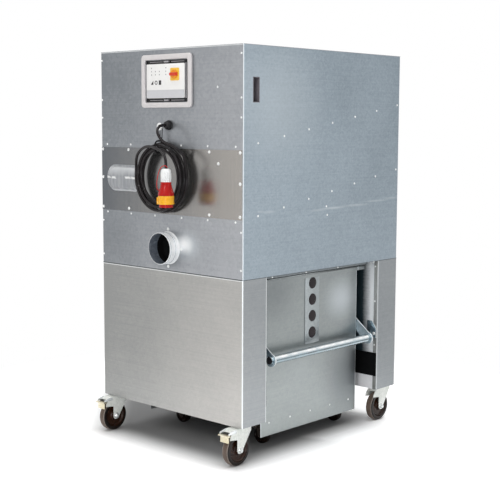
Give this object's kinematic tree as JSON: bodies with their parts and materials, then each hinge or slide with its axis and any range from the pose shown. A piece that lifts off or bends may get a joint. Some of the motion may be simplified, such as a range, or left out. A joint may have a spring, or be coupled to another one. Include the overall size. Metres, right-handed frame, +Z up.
{
  "type": "workshop dust extractor",
  "caption": "Tall sheet-metal dust extractor on braked swivel casters, with a pleated filter deck, hose inlet, controls, coiled power cord and a roll-out dust bin raised by a cam bail.",
  "frame": {"origin": "on the floor below the middle of the machine's outer box, cord, plug and coil aside", "axes": "+Z up, -Y towards the front with the controls and the hose inlet, +X towards the side where the bin rolls out"},
  "size_m": [0.8092, 1.1312, 1.575],
  "materials": {
    "galvanised_upper": "blue-grey galvanised sheet",
    "galvanised_lower": "galvanised sheet",
    "galvanised_inner": "galvanised sheet, inside",
    "galvanised_bin": "galvanised sheet",
    "polished_cover": "glossy sheet",
    "zinc_plated": "zinc-plated",
    "zinc_yellowed": "yellowish zinc plating",
    "motor_paint": "grey motor paint",
    "frame_plastic": "light grey plastic",
    "white_plastic": "white plastic",
    "black_plastic": "black plastic",
    "dark_steel": "dark paint",
    "caster_rubber": "dark rubber",
    "seal_rubber": "sponge rubber",
    "strip_sheet": "sheet strip",
    "filter_paper": "pleated filter paper",
    "clear_acrylic": "clear acrylic",
    "yellow_plastic": "yellow plastic",
    "red_plastic": "red plastic",
    "cord_rubber": "rubber-sheathed cable"
  },
  "bodies": {
    "cabinet": {"base_frame": "galvanised_inner", "front_lower_panel": "galvanised_lower", "rear_lower_panel": "galvanised_lower", "left_lower_panel": "galvanised_lower", "bay_wall_front": "galvanised_inner", "bay_wall_rear": "galvanised_inner", "chute_deck": "galvanised_inner", "bin_seal": "seal_rubber", "front_panel": "galvanised_upper", "filter_cover": "polished_cover", "inspection_window": "clear_acrylic", "inlet_spigot": "zinc_plated", "side_panel_right": "galvanised_upper", "side_panel_left": "galvanised_upper", "rear_panel": "galvanised_upper", "roof_panel": "galvanised_upper", "filter_deck_lower": "galvanised_inner", "filter_deck_upper": "galvanised_inner", "filter_cassette": "filter_paper", "motor_stand": "zinc_plated", "motor": "motor_paint", "control_frame": "frame_plastic", "control_box": "black_plastic", "control_face": "white_plastic", "switch_plate": "yellow_plastic", "side_grip": "black_plastic", "cord_gland": "black_plastic", "cord_hook": "white_plastic", "cord_lead": "cord_rubber", "cord_coil": "cord_rubber", "cord_tail": "cord_rubber", "plug_nut": "white_plastic", "plug_body": "red_plastic", "plug_ring": "yellow_plastic", "caster_plate_front_left": "zinc_plated", "caster_plate_front_right": "zinc_plated", "caster_plate_rear_left": "zinc_plated", "caster_plate_rear_right": "zinc_plated"},
    "fan": {"impeller": "zinc_plated"},
    "switch": {"main_switch": "red_plastic"},
    "caster_front_left": {"caster_fork_front_left": "zinc_plated"},
    "wheel_front_left": {"caster_wheel_front_left": "caster_rubber"},
    "brake_front_left": {"brake_pedal_front_left": "zinc_yellowed"},
    "caster_front_right": {"caster_fork_front_right": "zinc_plated"},
    "wheel_front_right": {"caster_wheel_front_right": "caster_rubber"},
    "brake_front_right": {"brake_pedal_front_right": "zinc_yellowed"},
    "caster_rear_left": {"caster_fork_rear_left": "zinc_plated"},
    "wheel_rear_left": {"caster_wheel_rear_left": "caster_rubber"},
    "caster_rear_right": {"caster_fork_rear_right": "zinc_plated"},
    "wheel_rear_right": {"caster_wheel_rear_right": "caster_rubber"},
    "dolly": {"dolly_frame": "dark_steel"},
    "bin": {"dust_bin": "galvanised_bin", "sight_strip": "strip_sheet"},
    "bail": {"bail_tube": "zinc_plated", "bail_arm_front": "zinc_plated", "bail_arm_rear": "zinc_plated"},
    "dolly_wheel_out_front": {"dolly_wheel_out_front": "caster_rubber"},
    "dolly_wheel_out_rear": {"dolly_wheel_out_rear": "caster_rubber"},
    "dolly_wheel_in_front": {"dolly_wheel_in_front": "caster_rubber"},
    "dolly_wheel_in_rear": {"dolly_wheel_in_rear": "caster_rubber"}
  },
  "joints": [
    {"name": "impeller_spin", "type": "hinge", "parent": "cabinet", "child": "fan", "pos_m": [-0.00466, -0.005, 1.27134], "axis": [0, -0.1695, 0.9855], "continuous": true},
    {"name": "main_switch_turn", "type": "hinge", "parent": "cabinet", "child": "switch", "pos_m": [0.04983, -0.4809, 1.4745], "axis": [0, 1, 0], "range_deg": [0, 90]},
    {"name": "swivel_front_left", "type": "hinge", "parent": "cabinet", "child": "caster_front_left", "pos_m": [-0.36267, -0.425, 0.1465], "axis": [0, 0, 1], "continuous": true},
    {"name": "roll_front_left", "type": "hinge", "parent": "caster_front_left", "child": "wheel_front_left", "pos_m": [-0.36267, -0.455, 0.0625], "axis": [1, 0, 0], "continuous": true},
    {"name": "brake_front_left", "type": "hinge", "parent": "caster_front_left", "child": "brake_front_left", "pos_m": [-0.36267, -0.48, 0.131], "axis": [1, 0, 0], "range_deg": [0, 6]},
    {"name": "swivel_front_right", "type": "hinge", "parent": "cabinet", "child": "caster_front_right", "pos_m": [0.35334, -0.425, 0.1465], "axis": [0, 0, 1], "continuous": true},
    {"name": "roll_front_right", "type": "hinge", "parent": "caster_front_right", "child": "wheel_front_right", "pos_m": [0.35334, -0.455, 0.0625], "axis": [1, 0, 0], "continuous": true},
    {"name": "brake_front_right", "type": "hinge", "parent": "caster_front_right", "child": "brake_front_right", "pos_m": [0.35334, -0.48, 0.131], "axis": [1, 0, 0], "range_deg": [0, 6]},
    {"name": "swivel_rear_left", "type": "hinge", "parent": "cabinet", "child": "caster_rear_left", "pos_m": [-0.36267, 0.475, 0.1465], "axis": [0, 0, 1], "continuous": true},
    {"name": "roll_rear_left", "type": "hinge", "parent": "caster_rear_left", "child": "wheel_rear_left", "pos_m": [-0.36267, 0.445, 0.0625], "axis": [1, 0, 0], "continuous": true},
    {"name": "swivel_rear_right", "type": "hinge", "parent": "cabinet", "child": "caster_rear_right", "pos_m": [0.35334, 0.475, 0.1465], "axis": [0, 0, 1], "continuous": true},
    {"name": "roll_rear_right", "type": "hinge", "parent": "caster_rear_right", "child": "wheel_rear_right", "pos_m": [0.35334, 0.445, 0.0625], "axis": [1, 0, 0], "continuous": true},
    {"name": "bin_roll", "type": "slide", "parent": "cabinet", "child": "dolly", "axis": [1, 0, 0], "range_m": [0, 0.72]},
    {"name": "bin_lift", "type": "slide", "parent": "dolly", "child": "bin", "axis": [0, 0, 1], "range_m": [-0.01, 0]},
    {"name": "bail_swing", "type": "hinge", "parent": "bin", "child": "bail", "pos_m": [0.17533, 0.025, 0.555], "axis": [0, -1, 0], "range_deg": [0, 60]},
    {"name": "dolly_roll_out_front", "type": "hinge", "parent": "dolly", "child": "dolly_wheel_out_front", "pos_m": [0.23034, -0.169, 0.0375], "axis": [0, 1, 0], "continuous": true},
    {"name": "dolly_roll_out_rear", "type": "hinge", "parent": "dolly", "child": "dolly_wheel_out_rear", "pos_m": [0.23034, 0.297, 0.0375], "axis": [0, 1, 0], "continuous": true},
    {"name": "dolly_roll_in_front", "type": "hinge", "parent": "dolly", "child": "dolly_wheel_in_front", "pos_m": [-0.22967, -0.169, 0.0375], "axis": [0, 1, 0], "continuous": true},
    {"name": "dolly_roll_in_rear", "type": "hinge", "parent": "dolly", "child": "dolly_wheel_in_rear", "pos_m": [-0.22967, 0.297, 0.0375], "axis": [0, 1, 0], "continuous": true}
  ],
  "couplings": [
    {"joint": "bin_lift", "follows": "bail_swing", "m_per_rad": -0.0095493}
  ]
}
